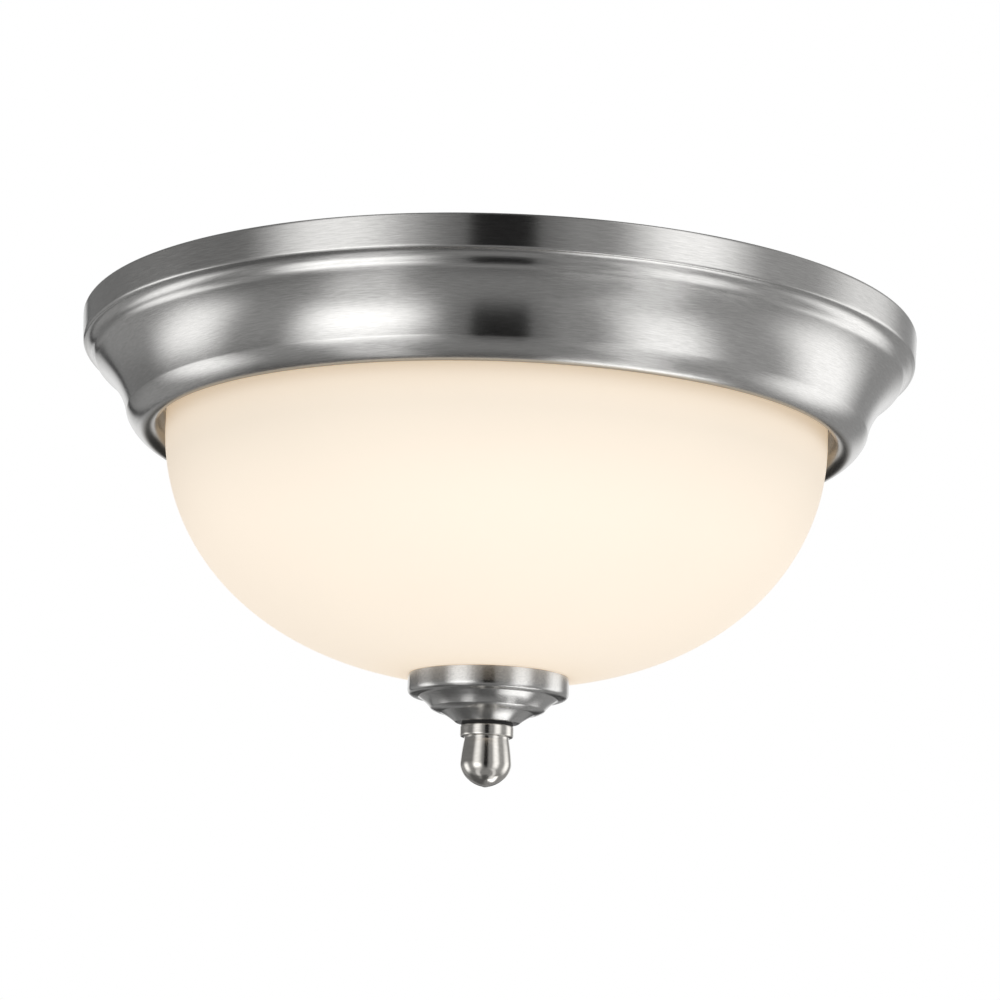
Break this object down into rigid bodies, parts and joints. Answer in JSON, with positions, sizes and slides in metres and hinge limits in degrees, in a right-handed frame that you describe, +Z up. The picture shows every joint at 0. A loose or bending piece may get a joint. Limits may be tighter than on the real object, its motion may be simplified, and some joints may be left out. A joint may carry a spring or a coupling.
{
  "type": "flush mount ceiling light",
  "caption": "Round flush mount ceiling light: brushed nickel spun pan, opal glass bowl held by a turned finial on a threaded centre rod, with screw-in bulbs behind the glass.",
  "frame": {"origin": "centre of the crossbar's top face, in the ceiling plane and on the centre line of the pan, rod and glass", "axes": "+Z up into the ceiling, +X along the crossbar and along the bulbs"},
  "size_m": [0.3304, 0.3304, 0.1787],
  "materials": {
    "brushed_nickel": "spun and satin brushed, nickel plated",
    "turned_nickel": "turned, satin nickel plated",
    "zinc_plate": "zinc plated pressed steel",
    "green_screw": "green dyed zinc plate",
    "copper": "bare drawn copper",
    "connector_plastic": "moulded",
    "bushing_plastic": "moulded nylon",
    "black_insulation": "extruded",
    "white_insulation": "extruded",
    "glass_fibre": "bonded glass fibre felt",
    "porcelain": "glazed",
    "shell_brass": "pressed sheet brass",
    "cap_metal": "rolled",
    "black_glass": "fused vitrite",
    "solder": "lead-free solder",
    "clear_glass": "drawn",
    "tungsten": "drawn wire",
    "rubber": "moulded",
    "fibre": "punched vulcanised fibre",
    "opal_glass": "white opal, acid etched outside",
    "frosted_glass": "frosted inside"
  },
  "bodies": {
    "root": {"pan": "brushed_nickel", "insulation_pad": "glass_fibre", "crossbar": "zinc_plate", "mounting_studs": "zinc_plate", "stud_lock_nuts": "zinc_plate", "cap_nuts": "turned_nickel", "ground_screw": "green_screw", "ground_lead": "copper", "wire_connectors": "connector_plastic", "wire_bushings": "bushing_plastic", "centre_rod": "zinc_plate", "rod_lock_washers": "zinc_plate", "rod_nuts": "zinc_plate", "bracket_rivets": "zinc_plate", "holder_screws": "zinc_plate", "black_lead_a": "black_insulation", "white_lead_a": "white_insulation", "black_lead_b": "black_insulation", "white_lead_b": "white_insulation", "holder_bracket_a": "zinc_plate", "holder_bracket_b": "zinc_plate", "lamp_holder_a": "porcelain", "lamp_holder_b": "porcelain", "screw_shell_a": "shell_brass", "screw_shell_b": "shell_brass", "centre_contact_a": "shell_brass", "centre_contact_b": "shell_brass"},
    "shade": {"glass_shade": "opal_glass", "glass_grommet": "rubber", "bobeche": "brushed_nickel"},
    "finial_washer": {"finial_washer": "fibre"},
    "finial": {"finial": "turned_nickel"},
    "bulb_a_tip": {"bulb_tip_a": "solder"},
    "bulb_a": {"bulb_envelope_a": "frosted_glass", "bulb_cap_a": "cap_metal", "bulb_insulator_a": "black_glass", "bulb_stem_a": "clear_glass", "bulb_filament_a": "tungsten"},
    "bulb_b_tip": {"bulb_tip_b": "solder"},
    "bulb_b": {"bulb_envelope_b": "frosted_glass", "bulb_cap_b": "cap_metal", "bulb_insulator_b": "black_glass", "bulb_stem_b": "clear_glass", "bulb_filament_b": "tungsten"}
  },
  "joints": [
    {"name": "shade_lower", "type": "slide", "parent": "root", "child": "shade", "axis": [0, 0, -1], "range_m": [0, 0.15]},
    {"name": "finial_travel", "type": "slide", "parent": "shade", "child": "finial_washer", "axis": [0, 0, -1], "range_m": [0, 0.00752]},
    {"name": "finial_turn", "type": "hinge", "parent": "finial_washer", "child": "finial", "pos_m": [0, 0, -0.158], "axis": [0, 0, -1], "range_deg": [0, 2880]},
    {"name": "bulb_a_travel", "type": "slide", "parent": "root", "child": "bulb_a_tip", "axis": [-1, 0, 0], "range_m": [0, 0.01452]},
    {"name": "bulb_a_turn", "type": "hinge", "parent": "bulb_a_tip", "child": "bulb_a", "pos_m": [0.054, 0.04, -0.048], "axis": [-1, 0, 0], "range_deg": [0, 1440]},
    {"name": "bulb_b_travel", "type": "slide", "parent": "root", "child": "bulb_b_tip", "axis": [1, 0, 0], "range_m": [0, 0.01452]},
    {"name": "bulb_b_turn", "type": "hinge", "parent": "bulb_b_tip", "child": "bulb_b", "pos_m": [-0.054, -0.04, -0.048], "axis": [1, 0, 0], "range_deg": [0, 1440]}
  ],
  "couplings": [
    {"joint": "finial_turn", "follows": "finial_travel", "rad_per_m": 6679},
    {"joint": "bulb_a_turn", "follows": "bulb_a_travel", "rad_per_m": 1731.4},
    {"joint": "bulb_b_turn", "follows": "bulb_b_travel", "rad_per_m": 1731.4}
  ]
}
